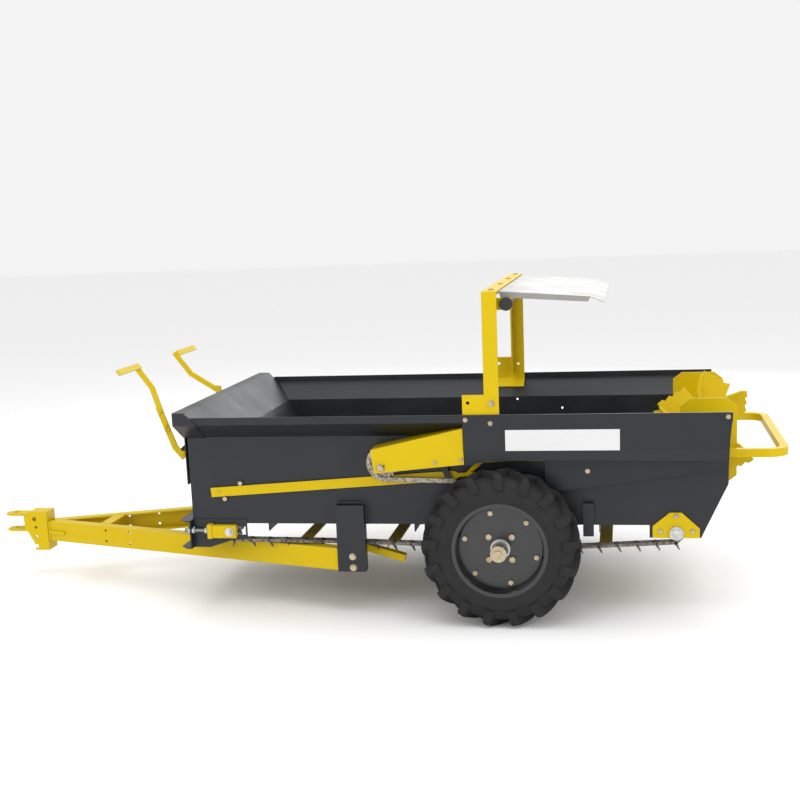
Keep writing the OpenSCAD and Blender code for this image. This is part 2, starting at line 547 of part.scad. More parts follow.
// three stations along the tube, each with two opposite paddles, turned in steps
module beater_paddles() color(yellow) place() translate([beater_x, 0, beater_z])
    for (i = [0 : 2], k = [0, 1]) translate([0, (i - 1) * beater_half / 2, 0]) rotate([0, 60 * (i - 1) + 180 * k, 0]) difference() {
        paddle();
        rod_y(0, 0, beater_tube_r, -200, 200);
    }

// ---- guards ----
module front_guard() color(yellow) place() difference() {
    union() {
        plate_y(-ty + 2, -ty + 2 + sheet) polygon([[-442, 612], [-121, 684], [-119, 560], [-433, 530]]);
        plate_y(-ty + 2, -wy) polygon(band([[-442, 612], [-121, 684]], -sheet));
    }
    box_prism(-500, 0);
    // slot of the idler bolt
    plate_y(-ty, -ty + 10) translate(idler) square([30, 17], center = true);
}
// outer guard over the beater chain: flat, with its lower strip folded in
module rear_guard() color(slate) place() intersection() {
    translate([-130, 0, 0]) rotate([90, 0, 90]) linear_extrude(box_rear + 140) polygon(band([[-ty, top_z], [-ty, 610], [-ty + 14, 540]], -3));
    plate_y(-ty - 10, -ty + 30) polygon([[-120, top_z], [box_rear, top_z], [box_rear - 14, 570], [55, 573], [-20, 570], [-64, 566], [-90, 559], [-115, 553]]);
}
module lower_guard() color(slate) place() {
    plate_y(-wy - 34, -wy - 31) polygon([[150, 448], [box_rear - 14, 531], [box_rear - 14, 558], [640, 558], [640, 600], [150, 600]]);
    for (p = [[294, 523], [480, 556], [box_rear - 23, 551]]) rod_y(p[0], p[1], 7, -wy - 31, -wy, 24);
    // ties up to the outer guard
    for (x = [330, 600]) rod_y(x, 588, 6, -ty + 5.5, -wy - 34, 24);
}
module name_plate() color("white") place() plate_y(-ty - 4.2, -ty - 3) polygon([[24, 608], [24, 679], [403, 679], [403, 608]]);

// ---- controls ----
module lever_bracket() difference() {
    union() {
        plate_y(-lever_y + 6, -lever_y + 12) polygon([[-skirt_x, 500], [-skirt_x, 640], [-skirt_x - 60, 600], [lever_pin[0] - 16, lever_pin[1] + 14], [lever_pin[0] - 16, lever_pin[1] - 16], [-skirt_x - 30, 500]]);
        block(-skirt_x - 5, -skirt_x, -lever_y - 20, -lever_y + 30, 500, 640);
    }
    rod_y(lever_pin[0], lever_pin[1], 8 + run_fit, -lever_y, -lever_y + 20);
}
module lever_brackets() color(slate) place() both() lever_bracket();
// arm on the pivot, handle bar bolted outside it, and a grip turned outwards
module control_lever(arm, handle, bolts) {
    plate_y(-lever_y - 8, -lever_y) polygon(band(arm, 22));
    plate_y(-lever_y - 16, -lever_y - 8) polygon(band(handle, 20));
    grip = handle[len(handle) - 1];
    translate([grip[0], 0, grip[1]]) rotate([0, -36, 0]) block(-2, 5, -lever_y - grip_len, -lever_y - 8, -22, 0);
    rod_y(lever_pin[0], lever_pin[1], 8, -lever_y - 12, -lever_y + 18);
    for (p = bolts) { rod_y(p[0], p[1], 8, -lever_y - 18, -lever_y - 15.9, 24); hex_y(p[0], p[1], 12, -lever_y - 23, -lever_y - 17.9); }
}
module control_lever_left() color(yellow) place()
    control_lever([lever_pin + [12, -12], [-1262, 570], [-1316, 722]], [[-1284, 632], [-1334, 800], [-1396, 887]], [[-1298, 646], [-1316, 704]]);
module control_lever_right() color(yellow) place() other_side()
    control_lever([lever_pin + [12, -12], [-1205, 640], [-1212, 742]], [[-1186, 708], [-1332, 800], [-1396, 887]], [[-1206, 716], [-1232, 734]]);

bar_dir = unit(bar_to - bar_from);
module control_bar() {
    u = bar_dir;
    plate_y(-wy - 8, -wy - 3) polygon([bar_from - 16 * u + 16 * lhs(u), bar_to - 60 * u + 16 * lhs(u), bar_to - 45 * u + 7 * lhs(u), bar_to + 12 * u + 7 * lhs(u),
        bar_to + 12 * u - 7 * lhs(u), bar_to - 45 * u - 7 * lhs(u), bar_to - 60 * u - 18 * lhs(u), bar_from - 16 * u - 18 * lhs(u)]);
    // link pin through the wall slot and its head
    rod_y(bar_from[0] + 12, bar_from[1] + 1, 6, -wy - 12, -wy + 20, 32);
}
module control_bar_left() color(yellow) place() control_bar();
module control_bar_right() color(yellow) place() other_side() control_bar();

// bent link bolted to the bar's tail, running back above the tyre to the beater clutch
module shift_link() {
    plate_y(-wy - 14, -wy - 8) polygon(band([bar_to + [-9, -8], bar_to + [10, 14], bar_to + [42, 41], bar_to + [150, 48], bar_to + [290, 46]], 15));
    hex_y(bar_to[0], bar_to[1] + 2, 19, -wy - 22, -wy - 13.9);
}
module shift_link_left() color(yellow) place() shift_link();
module shift_link_right() color(yellow) place() other_side() shift_link();

// ---- deflector ----
flap_pin = [34, frame_top - 45];
flap_y = ty - 57;
module frame_side() {
    difference() {
        union() {
            block(-45, 5, -ty + sheet, -ty + sheet + 5, flange_z + 6, frame_top);
            block(-45, -40, -ty + sheet, -ty + sheet + 48, top_z + 6, frame_top);
            // foot plate inside the flange, with its leaf down the flare
            translate([-119, 0, 0]) rotate([90, 0, 90]) linear_extrude(124)
                polygon(band([[-ty + sheet, top_z + 67], [-ty + sheet, flange_z + 2.2], [-ty + sheet + 50, flange_z + 2.2 - 50 * flare_h / (ty - wy)]], 5));
        }
        rod_y(-100, top_z + 40, 6, -ty - 5, -ty + 12, 24);
        rod_y(-20, top_z + 38, 5, -ty - 5, -ty + 12, 24);
    }
    difference() {
        block(-41, 52, -flap_y - 9, -flap_y - 4, flap_pin[1] - 20, flap_pin[1] + 20);
        rod_y(flap_pin[0], flap_pin[1], 6 + run_fit, -flap_y - 20, -flap_y);
    }
}
module deflector_frame() color(yellow) place() {
    both() frame_side();
    block(-45, 5, -ty + sheet, ty - sheet, frame_top - 5, frame_top);
    block(-45, -40, -ty + sheet, ty - sheet, frame_top - 42, frame_top - 4.9);
}
tip_x = 8 + deflector_len;
module deflector_plate() color(galvanised) place() {
    plate_y(-flap_y, flap_y) polygon(band([[8, frame_top - 4], [tip_x, frame_top - 29], [tip_x + 46, frame_top - 48]], -2));
    both() {
        plate_y(-flap_y, -flap_y + 2) polygon([[8, frame_top - 5.5], [tip_x, frame_top - 30.5], [tip_x - 8, frame_top - 46], [60, frame_top - 28], [50, flap_pin[1] - 12], [18, flap_pin[1] - 12], [14, frame_top - 24]]);
        rod_y(flap_pin[0], flap_pin[1], 6, -flap_y - 12, -flap_y + 1);
    }
}
module deflector_knobs() color("#18181a") place() both() rod_y(flap_pin[0], flap_pin[1], 22, -flap_y - 30, -flap_y - 12);

// ---- bail ----
module rear_bail() color(yellow) place() {
    y = wy - 66; z = 564; bend = 60; xb = bail_x - bail_r;
    both() {
        block(700, xb - bend, -y - bail_r, -y + bail_r, z - bail_r, z + bail_r);
        translate([xb - bend, -y + bend, z]) rotate([0, 0, -90]) rotate_extrude(angle = 90) translate([bend, 0]) square(2 * bail_r, center = true);
        block(718, 758, -wy + sheet, -y, z - 10, z + 10);
    }
    block(xb - bail_r, xb + bail_r, -y + bend, y - bend, z - bail_r, z + bail_r);
}

// ---- fasteners ----
module bolt_out(x, z, y, af = 16, head = 8) { rod_y(x, z, af * 0.68, -y - 2, -y, 24); hex_y(x, z, af, -y - head, -y - 2); }
module frame_bolts() color(steel) place() {
    both() {
        bolt_out(-535, 216, post_y, 19, 9);
        bolt_out(-534, 176, post_y, 19, 9);
        bolt_out(rear_shaft_x - 1, apron_z + 59, wy + 8, 12, 6);
        bolt_out(rear_shaft_x - 54, apron_z + 7, wy + 8, 12, 6);
        bolt_out(rear_shaft_x + 53, apron_z + 7, wy + 8, 12, 6);
        for (i = [0 : 2]) bolt_out(beater_x + 36 * cos(90 + 120 * i), beater_z + 36 * sin(90 + 120 * i), wy + 6, 8, 5);
        // washer and bolt at the end of the stub axle
        rod_y(0, axle_z, 28, -stub_end - 4, -stub_end);
        hex_y(0, axle_z, 24, -hub_end, -stub_end - 4);
        // button heads on the deflector frame's top bar
        for (y = [ty * 0.29, ty - 70]) translate([-18, -y, frame_top]) cylinder(r = 9, h = 5, $fn = 24);
        // guide pegs of the control bar
        for (p = [[-1005, 419], [-944, 476]]) rod_y(p[0], p[1], 8, -wy - 12, -wy, 24);
    }
    // screws of the guards, left side only
    for (p = [[-109, 715], [-25, 702], [750, 717]]) bolt_out(p[0], p[1], ty + 3, 12, 7);
    bolt_out(-20, top_z + 38, ty - sheet, 16, 8);
    bolt_out(-218, 569, ty - 2, 10, 6);
    bolt_out(-128, 577, ty - 2, 10, 6);
    bolt_out(294, 523, wy + 34, 12, 7);
    // idler bolt, from the wall out through the guard's slot
    rod_y(idler[0], idler[1], 8, -ty - 2, -wy);
    rod_y(idler[0], idler[1], 12, -ty - 1, -ty + 2, 32);
    hex_y(idler[0], idler[1], 19, -ty - 9, -ty - 0.9);
    rod_y(idler[0], idler[1], 14, -wy - 10.5, -wy, 32);
}

side_wall_left();
side_wall_right();
front_panel();
floor_plate();
floor_crossbars();
front_cross_channel();
axle_beam();
wall_stiffeners();
drawbar_beam_left();
drawbar_beam_right();
drawbar_crossmember();
hitch_block();
hitch_clevis();
post_left();
post_right();
stand_leg_left();
stand_leg_right();
tension_bracket_left();
tension_bracket_right();
tension_slider_left();
tension_slider_right();
tension_rods();
front_idler_shaft();
rear_bearing_plates();
apron_drive_shaft();
apron_chain_left();
apron_chain_right();
apron_slats();
feed_ratchet_arm();
tyre_left();
rim_left();
hub_left();
tyre_right();
rim_right();
hub_right();
wheel_bolts_left();
wheel_bolts_right();
hub_sprocket();
drive_chain();
chain_idler();
chain_guides();
beater_bearings();
beater_shaft();
beater_paddles();
front_guard();
rear_guard();
lower_guard();
name_plate();
lever_brackets();
control_lever_left();
control_lever_right();
control_bar_left();
control_bar_right();
shift_link_left();
shift_link_right();
deflector_frame();
deflector_plate();
deflector_knobs();
rear_bail();
frame_bolts();
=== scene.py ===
import bpy, math
from mathutils import Matrix, Vector


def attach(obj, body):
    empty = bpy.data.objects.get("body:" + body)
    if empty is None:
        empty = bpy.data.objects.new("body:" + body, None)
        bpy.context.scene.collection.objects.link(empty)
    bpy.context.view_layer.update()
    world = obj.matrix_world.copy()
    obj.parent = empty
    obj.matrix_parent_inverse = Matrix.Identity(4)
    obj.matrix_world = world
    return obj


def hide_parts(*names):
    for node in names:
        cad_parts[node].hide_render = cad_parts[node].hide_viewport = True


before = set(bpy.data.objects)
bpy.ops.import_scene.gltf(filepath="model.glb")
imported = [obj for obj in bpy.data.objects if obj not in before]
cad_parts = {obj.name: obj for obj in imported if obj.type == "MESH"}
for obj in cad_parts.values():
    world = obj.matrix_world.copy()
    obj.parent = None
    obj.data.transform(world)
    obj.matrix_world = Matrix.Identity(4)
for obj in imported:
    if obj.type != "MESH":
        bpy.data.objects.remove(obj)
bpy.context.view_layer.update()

# Camera, floor and studio lights.
# The camera stands to the left of the machine, a little behind its middle and above the box,
# over a plain pale floor under large soft lamps.
lens = bpy.data.cameras.new("studio_camera")
lens.lens, lens.sensor_width, lens.shift_x, lens.shift_y = 56.04, 36, 0.0006, 0.0628
camera = bpy.data.objects.new("studio_camera", lens)
bpy.context.scene.collection.objects.link(camera)
swing, dip, roll = 0.1852157, 0.1888753, -0.0414577
camera.matrix_world = (Matrix.Translation((0.99599, -4.64759, 1.41085)) @ Matrix.Rotation(swing, 4, "Z")
                       @ Matrix.Rotation(math.pi / 2 - dip, 4, "X") @ Matrix.Rotation(roll, 4, "Z"))
bpy.context.scene.camera = camera

bpy.ops.object.select_all(action="DESELECT")
bpy.ops.mesh.primitive_plane_add(size=60, location=(0, 0, 0))
floor = bpy.context.object
floor.name = "studio_floor"
floor_paint = bpy.data.materials.new("studio_floor")
floor_paint.use_nodes = True
floor_paint.node_tree.nodes["Principled BSDF"].inputs["Base Color"].default_value = (0.95, 0.95, 0.95, 1)
floor_paint.node_tree.nodes["Principled BSDF"].inputs["Roughness"].default_value = 0.8
floor.data.materials.append(floor_paint)

room = bpy.data.worlds.new("studio_room")
room.use_nodes = True
room.node_tree.nodes["Background"].inputs["Color"].default_value = (1, 1, 1, 1)
room.node_tree.nodes["Background"].inputs["Strength"].default_value = 0.9
bpy.context.scene.world = room
bpy.context.scene.view_settings.view_transform = "Standard"      # paint colours show as they are mixed
for lamp_name, place, aim, size, power in [("lamp_over", (0.2, -0.6, 4.6), (0, 0, 0.4), 4.5, 110),
                                           ("lamp_front", (-2.6, -5.2, 2.6), (0, 0, 0.6), 3.0, 60),
                                           ("lamp_tail", (4.2, -3.2, 2.4), (0.4, 0, 0.6), 2.4, 40),
                                           ("lamp_far", (1.5, 4.8, 3.0), (0, 0, 0.6), 3.0, 60)]:
    lamp = bpy.data.lights.new(lamp_name, "AREA")
    lamp.shape, lamp.size, lamp.energy = "SQUARE", size, power
    holder = bpy.data.objects.new(lamp_name, lamp)
    holder.location = place
    holder.rotation_euler = (Vector(aim) - Vector(place)).to_track_quat("-Z", "Y").to_euler()
    bpy.context.scene.collection.objects.link(holder)

# Box, chassis and guards: folded steel sheet in slate grey powder coat.
# The coat has a fine orange peel and a faint mottle of dust.
def wire(tree, kind, out, into, **values):
    node = tree.nodes.new(kind)
    for key, value in values.items():
        if key in node.inputs:
            node.inputs[key].default_value = value
        else:
            setattr(node, key, value)
    if into is not None:
        tree.links.new(node.outputs[out], into)
    return node


def powder_coat(name, colour, dusty, gloss, peel=0.035, coat=0.2, edge_wear_and_highlight=None):
    paint = bpy.data.materials.new(name)
    paint.use_nodes = True
    tree = paint.node_tree
    skin = tree.nodes["Principled BSDF"]
    skin.inputs["Coat Weight"].default_value = coat
    skin.inputs["Coat Roughness"].default_value = 0.25
    place = wire(tree, "ShaderNodeTexCoord", "Object", None)
    mottle = wire(tree, "ShaderNodeTexNoise", "Fac", None, Scale=7.0, Detail=6.0, Roughness=0.62)
    tree.links.new(place.outputs["Object"], mottle.inputs["Vector"])
    spread = wire(tree, "ShaderNodeMapRange", "Result", None)
    for key, value in (("From Min", 0.42), ("From Max", 0.78), ("To Min", 0.0), ("To Max", 0.55)):
        spread.inputs[key].default_value = value
    tree.links.new(mottle.outputs["Fac"], spread.inputs["Value"])
    blend = tree.nodes.new("ShaderNodeMix")
    blend.data_type = "RGBA"
    blend.inputs["A"].default_value = (*colour, 1)
    blend.inputs["B"].default_value = (*dusty, 1)
    tree.links.new(spread.outputs["Result"], blend.inputs["Factor"])
    # edges: the true normal leaves the rounded one only near an edge; there the colour is mixed lighter,
    # partly for coat rubbed thin and partly as a painted highlight along the edge
    rounded = wire(tree, "ShaderNodeBevel", "Normal", None, samples=4, Radius=0.0016)
    rubbed_and_highlit_edge = tree.nodes.new("ShaderNodeMix")
    rubbed_and_highlit_edge.data_type = "RGBA"
    rubbed_and_highlit_edge.inputs["B"].default_value = (*(edge_wear_and_highlight or colour), 1)
    tree.links.new(blend.outputs["Result"], rubbed_and_highlit_edge.inputs["A"])
    tree.links.new(rubbed_and_highlit_edge.outputs["Result"], skin.inputs["Base Color"])
    if edge_wear_and_highlight:
        face = wire(tree, "ShaderNodeNewGeometry", "Normal", None)
        turn = tree.nodes.new("ShaderNodeVectorMath")
        turn.operation = "DOT_PRODUCT"
        tree.links.new(face.outputs["True Normal"], turn.inputs[0])
        tree.links.new(rounded.outputs["Normal"], turn.inputs[1])
        edge = wire(tree, "ShaderNodeMapRange", "Result", None)
        for key, value in (("From Min", 0.995), ("From Max", 0.86), ("To Min", 0.0), ("To Max", 1.0)):
            edge.inputs[key].default_value = value
        tree.links.new(turn.outputs["Value"], edge.inputs["Value"])
        patchy = tree.nodes.new("ShaderNodeMath")
        patchy.operation = "MULTIPLY"
        tree.links.new(edge.outputs["Result"], patchy.inputs[0])
        tree.links.new(mottle.outputs["Fac"], patchy.inputs[1])
        tree.links.new(patchy.outputs["Value"], rubbed_and_highlit_edge.inputs["Factor"])
    else:
        rubbed_and_highlit_edge.inputs["Factor"].default_value = 0.0
    sheen = wire(tree, "ShaderNodeMapRange", "Result", skin.inputs["Roughness"])
    spans = (("From Min", 0.3), ("From Max", 0.7), ("To Min", gloss - 0.06), ("To Max", gloss + 0.1))
    for key, value in spans:
        sheen.inputs[key].default_value = value
    tree.links.new(mottle.outputs["Fac"], sheen.inputs["Value"])
    grain = wire(tree, "ShaderNodeTexNoise", "Fac", None, Scale=420.0, Detail=2.0)
    tree.links.new(place.outputs["Object"], grain.inputs["Vector"])
    bump = wire(tree, "ShaderNodeBump", "Normal", skin.inputs["Normal"], Strength=peel, Distance=0.002)
    tree.links.new(grain.outputs["Fac"], bump.inputs["Height"])
    tree.links.new(rounded.outputs["Normal"], bump.inputs["Normal"])
    return paint


# edge colour: rubbed-thin paint and a painted edge highlight, much lighter than the slate
slate_coat = powder_coat("slate_powder_coat", (0.011, 0.0135, 0.0172), (0.018, 0.021, 0.025), 0.38,
                         coat=0.1, edge_wear_and_highlight=(0.09, 0.10, 0.11))
slate_coat.node_tree.nodes["Principled BSDF"].inputs["Specular IOR Level"].default_value = 0.34


def dress(material, *names):
    for name in names:
        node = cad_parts[name]
        for place in node.material_slots:
            place.material = material
        if not node.material_slots:
            node.data.materials.append(material)


dress(slate_coat, "side_wall_left", "side_wall_right", "front_panel", "floor_crossbars",
      "front_cross_channel", "axle_beam", "wall_stiffeners", "post_left", "post_right",
      "tension_bracket_left", "tension_bracket_right", "chain_guides", "beater_bearings",
      "rear_guard", "lower_guard", "lever_brackets")

# Box floor: a flat steel sheet that the slats scrape along.
# Its coat is worn to long dull streaks between the chains.
scraped_floor = powder_coat("scraped_floor_coat", (0.026, 0.029, 0.034), (0.10, 0.10, 0.10), 0.46)
streaks = next(n for n in scraped_floor.node_tree.nodes
               if n.bl_idname == "ShaderNodeTexNoise" and n.inputs["Scale"].default_value < 10)
stretch = scraped_floor.node_tree.nodes.new("ShaderNodeMapping")
stretch.inputs["Scale"].default_value = (0.5, 9, 1)
scraped_floor.node_tree.links.new(streaks.inputs["Vector"].links[0].from_socket, stretch.inputs["Vector"])
scraped_floor.node_tree.links.new(stretch.outputs["Vector"], streaks.inputs["Vector"])
dress(scraped_floor, "floor_plate")

# Yellow steelwork: drawbar, hitch, levers, bars, deflector frame, bail, slats and beater.
# Channel, flat bar and plate, welded and sprayed in one warm yellow.
# edge colour: rubbed-thin paint and a painted edge highlight, paler than the yellow
yellow_coat = powder_coat("yellow_powder_coat", (0.60, 0.425, 0.0), (0.55, 0.38, 0.0), 0.42,
                          peel=0.05, coat=0.0, edge_wear_and_highlight=(0.74, 0.60, 0.10))
yellow_coat.node_tree.nodes["Principled BSDF"].inputs["Specular IOR Level"].default_value = 0.18
dress(yellow_coat, "drawbar_beam_left", "drawbar_beam_right", "drawbar_crossmember", "hitch_block",
      "hitch_clevis", "stand_leg_left", "stand_leg_right", "tension_slider_left", "tension_slider_right",
      "rear_bearing_plates", "apron_slats", "feed_ratchet_arm", "beater_shaft", "beater_paddles",
      "front_guard", "control_lever_left", "control_lever_right", "control_bar_left", "control_bar_right",
      "shift_link_left", "shift_link_right", "deflector_frame", "rear_bail")

# Wheel rims and discs: pressed steel in gloss black.
# Smoother and shinier than the box, with the same light dust.
rim_black = powder_coat("rim_gloss_black", (0.008, 0.008, 0.009), (0.020, 0.020, 0.020), 0.26,
                        peel=0.02, coat=0.5)
dress(rim_black, "rim_left", "rim_right")

# Bolts, shafts and hubs: zinc plated steel, some of it passivated yellow.
# The plating is bright, with fine turning marks and a patchy straw tint on the bolts.
def plating(name, bright, tint, gloss, patch=60.0):
    metal = bpy.data.materials.new(name)
    metal.use_nodes = True
    tree = metal.node_tree
    skin = tree.nodes["Principled BSDF"]
    skin.inputs["Metallic"].default_value = 1.0
    place = wire(tree, "ShaderNodeTexCoord", "Object", None)
    patches = wire(tree, "ShaderNodeTexNoise", "Fac", None, Scale=patch, Detail=3.0)
    tree.links.new(place.outputs["Object"], patches.inputs["Vector"])
    ramp = tree.nodes.new("ShaderNodeValToRGB")
    ramp.color_ramp.elements[0].position, ramp.color_ramp.elements[0].color = 0.35, (*bright, 1)
    ramp.color_ramp.elements[1].position, ramp.color_ramp.elements[1].color = 0.68, (*tint, 1)
    tree.links.new(patches.outputs["Fac"], ramp.inputs["Fac"])
    tree.links.new(ramp.outputs["Color"], skin.inputs["Base Color"])
    turned = wire(tree, "ShaderNodeTexNoise", "Fac", None, Scale=900.0, Detail=1.0)
    tree.links.new(place.outputs["Object"], turned.inputs["Vector"])
    rough = wire(tree, "ShaderNodeMapRange", "Result", skin.inputs["Roughness"])
    for key, value in (("To Min", gloss - 0.08), ("To Max", gloss + 0.14)):
        rough.inputs[key].default_value = value
    tree.links.new(turned.outputs["Fac"], rough.inputs["Value"])
    return metal


bright_zinc = plating("bright_zinc", (0.60, 0.60, 0.59), (0.42, 0.42, 0.41), 0.30)
straw_zinc = plating("straw_zinc", (0.52, 0.46, 0.33), (0.40, 0.30, 0.18), 0.36, patch=45.0)
oiled_steel = plating("oiled_chain_steel", (0.46, 0.41, 0.34), (0.17, 0.14, 0.11), 0.42, patch=120.0)
dress(bright_zinc, "tension_rods", "front_idler_shaft", "apron_drive_shaft", "hub_left", "hub_right")
dress(straw_zinc, "wheel_bolts_left", "wheel_bolts_right", "frame_bolts")
dress(oiled_steel, "hub_sprocket", "chain_idler", "apron_chain_left", "apron_chain_right", "drive_chain")
dark_steel = plating("dark_apron_chain_steel", (0.26, 0.235, 0.205), (0.09, 0.078, 0.066), 0.46, patch=90.0)

# Deflector: one thin sheet, pale grey, bent down along its rear edge.
# It hangs on two black clamping knobs.
pale_sheet = powder_coat("pale_grey_sheet", (0.27, 0.265, 0.25), (0.21, 0.205, 0.195), 0.36,
                         peel=0.02, coat=0.0)
dress(pale_sheet, "deflector_plate")
knob_black = powder_coat("moulded_black", (0.012, 0.012, 0.013), (0.02, 0.02, 0.02), 0.5, peel=0.12, coat=0.0)
dress(knob_black, "deflector_knobs")

# Blank maker's panel on the outer guard: white vinyl, with no lettering.
label_vinyl = powder_coat("label_vinyl", (0.66, 0.66, 0.66), (0.62, 0.62, 0.62), 0.3, peel=0.0, coat=0.1)
dress(label_vinyl, "name_plate")

# Tyres: agricultural tyres with a rounded carcass, a rim bead and a stepped shoulder.
# Slanted lugs alternate left and right, lean back from the crown and run down over the shoulder.
tyre_rubber = powder_coat("tyre_rubber", (0.013, 0.013, 0.0135), (0.030, 0.029, 0.027), 0.72,
                          peel=0.25, coat=0.0)
tyre_rubber.node_tree.nodes["Principled BSDF"].inputs["Specular IOR Level"].default_value = 0.3


def settle(piece, name, material, body, *nodes):
    """Ends a piece: place into the mesh, material, body and the frame nodes it stands for."""
    bpy.ops.object.select_all(action="DESELECT")
    piece.select_set(True)
    bpy.context.view_layer.objects.active = piece
    bpy.ops.object.transform_apply(location=True, rotation=True, scale=True)
    piece.name = piece.data.name = name
    piece.data.materials.clear()
    piece.data.materials.append(material)
    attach(piece, body)
    if nodes:
        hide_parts(*nodes)
    return piece


def join(pieces):
    bpy.ops.object.select_all(action="DESELECT")
    for piece in pieces:
        piece.select_set(True)
    bpy.context.view_layer.objects.active = pieces[0]
    bpy.ops.object.join()
    return pieces[0]


def edit(piece, *steps):
    bpy.ops.object.select_all(action="DESELECT")
    piece.select_set(True)
    bpy.context.view_layer.objects.active = piece
    bpy.ops.object.mode_set(mode="EDIT")
    bpy.ops.mesh.select_all(action="SELECT")
    for step in steps:
        step()
    bpy.ops.object.mode_set(mode="OBJECT")


tyre_centre = Vector((0.565, -0.541, 0.2725))
# half section from the bead over the sidewall to the crown: radius and distance from the middle
carcass = [(0.156, 0.047), (0.163, 0.054), (0.171, 0.057), (0.178, 0.0585), (0.183, 0.0605),
           (0.190, 0.0620), (0.199, 0.0632), (0.2045, 0.0634), (0.2055, 0.0618), (0.214, 0.0616),
           (0.226, 0.0590), (0.237, 0.0530), (0.244, 0.0440), (0.2485, 0.0300), (0.2505, 0.0120)]
ring = carcass + [(r, -y) for r, y in reversed(carcass)]
bpy.ops.object.select_all(action="DESELECT")
bpy.ops.mesh.primitive_circle_add(vertices=len(ring), radius=0.1)
body = bpy.context.object
for v, (r, y) in zip(body.data.vertices, ring):
    v.co = (0, y, r)
edit(body, lambda: bpy.ops.mesh.spin(steps=120, angle=2 * math.pi, center=(0, 0, 0), axis=(0, 1, 0)),
     lambda: bpy.ops.mesh.select_all(action="SELECT"), lambda: bpy.ops.mesh.remove_doubles(threshold=0.0002),
     lambda: bpy.ops.mesh.normals_make_consistent(inside=False))
bpy.ops.object.shade_smooth()

bpy.ops.object.select_all(action="DESELECT")
bpy.ops.mesh.primitive_cube_add(size=2)
lug = bpy.context.object
edit(lug, lambda: bpy.ops.mesh.subdivide(number_cuts=9))
# along a lug: distance from the middle, top radius, foot radius, half thickness, lean in degrees
lug_line = [(-0.009, 0.2690, 0.244, 0.0084, -1.5), (0.004, 0.2722, 0.244, 0.0090, 1.5),
            (0.016, 0.2722, 0.242, 0.0094, 4.2), (0.028, 0.2716, 0.240, 0.0098, 6.6),
            (0.040, 0.2704, 0.236, 0.0104, 8.6), (0.050, 0.2685, 0.228, 0.0114, 9.9),
            (0.0585, 0.2640, 0.220, 0.0130, 10.7), (0.0645, 0.2560, 0.213, 0.0148, 11.2)]
for v in lug.data.vertices:
    along, across, up = (v.co.x + 1) / 2 * (len(lug_line) - 1), v.co.y, (v.co.z + 1) / 2
    i = min(int(along), len(lug_line) - 2)
    y, top, foot, half, lean = [a + (b - a) * (along - i) for a, b in zip(lug_line[i], lug_line[i + 1])]
    r = foot + (top - foot) * up
    turn = math.radians(lean) + across * half * (1.25 - 0.35 * up) / r
    v.co = (r * math.sin(turn), y, r * math.cos(turn))
soften = lug.modifiers.new("soften", "BEVEL")
soften.width, soften.segments, soften.limit_method, soften.angle_limit = 0.0022, 2, "ANGLE", math.radians(50)
edit(lug, lambda: bpy.ops.mesh.normals_make_consistent(inside=False))
bpy.ops.object.modifier_apply(modifier="soften")
bpy.ops.object.shade_smooth_by_angle(angle=math.radians(38))
lugs_a_side = 17
lugs = []
for side in (1, -1):
    for i in range(lugs_a_side):
        copy = bpy.data.objects.new("lug", lug.data.copy())
        bpy.context.scene.collection.objects.link(copy)
        place = math.radians((i + (side < 0) / 2) * 360 / lugs_a_side)
        copy.data.transform(Matrix.Rotation(place, 4, "Y") @ Matrix.Diagonal((1, side, 1, 1)))
        if side < 0:
            copy.data.flip_normals()
        lugs.append(copy)
bpy.data.objects.remove(lug)
near_tyre = join([body] + lugs)
far_tyre = bpy.data.objects.new("far_tyre", near_tyre.data.copy())
bpy.context.scene.collection.objects.link(far_tyre)
near_tyre.data.transform(Matrix.Translation(tyre_centre))
far_centre = Matrix.Translation((tyre_centre.x, -tyre_centre.y, tyre_centre.z))
far_tyre.data.transform(far_centre @ Matrix.Diagonal((1, -1, 1, 1)))
far_tyre.data.flip_normals()
settle(near_tyre, "lugged_tyre_left", tyre_rubber, "wheel_left", "tyre_left")
settle(far_tyre, "lugged_tyre_right", tyre_rubber, "wheel_right", "tyre_right")

# Beater chain: three-quarter inch roller chain of plates, pins and rollers.
# It runs round the idler and the beater sprocket, and over the hub sprocket between its guides.
def chain_points(circles, pitch):
    """Even points [x, z] round a loop of circles (x, z, signed radius), counterclockwise."""
    def heading(a, b):
        dx, dz = b[0] - a[0], b[1] - a[1]
        return math.atan2(dz, dx) - math.asin((b[2] - a[2]) / math.hypot(dx, dz))
    path = []
    for i, (cx, cz, r) in enumerate(circles):
        h0 = heading(circles[i - 1], circles[i])
        h1 = heading(circles[i], circles[(i + 1) % len(circles)])
        sweep = math.remainder(h1 - h0, 2 * math.pi)
        sweep = sweep % (2 * math.pi) if r > 0 else -((-sweep) % (2 * math.pi))
        steps = max(1, math.ceil(abs(sweep) / math.radians(3)))
        turns = [h0 + sweep * k / steps for k in range(steps + 1)]
        path += [(cx + r * math.sin(h), cz - r * math.cos(h)) for h in turns]
    lengths = [math.dist(path[i], path[(i + 1) % len(path)]) for i in range(len(path))]
    total = sum(lengths)
    count = 2 * round(total / pitch / 2)
    points, i, passed = [], 0, 0.0
    for k in range(count):
        s = total * k / count
        while passed + lengths[i] < s:
            passed += lengths[i]
            i += 1
        a, b, t = path[i], path[(i + 1) % len(path)], (s - passed) / max(lengths[i], 1e-9)
        points.append((a[0] + (b[0] - a[0]) * t, a[1] + (b[1] - a[1]) * t))
    return points


